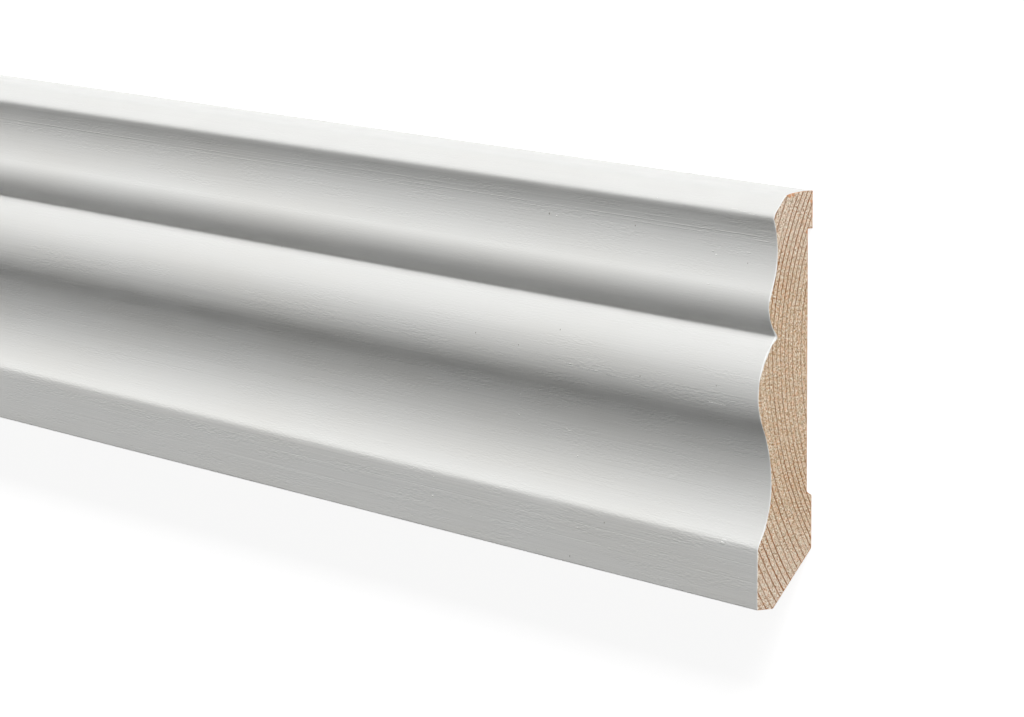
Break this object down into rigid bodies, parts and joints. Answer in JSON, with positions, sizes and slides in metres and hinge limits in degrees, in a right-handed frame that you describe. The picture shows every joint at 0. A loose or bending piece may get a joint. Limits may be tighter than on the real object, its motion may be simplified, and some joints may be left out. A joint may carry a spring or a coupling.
{
  "type": "skirting board length",
  "caption": "Moulded skirting board length in white-painted softwood: plinth, coves, torus and bead on the face, a relieved and bevelled back, and square-sawn ends.",
  "frame": {"origin": "middle of the back, level with the two pads the board lies on, at half its length and half its height", "axes": "+X along the length, +Y from the floor edge to the top edge, +Z out of the moulded face"},
  "size_m": [2.4, 0.095, 0.015],
  "materials": {
    "painted_pine": "satin white paint on the face and both edges, bare planed pine on the back and sawn ends"
  },
  "bodies": {
    "root": {"skirting_board": "painted_pine"}
  },
  "joints": []
}
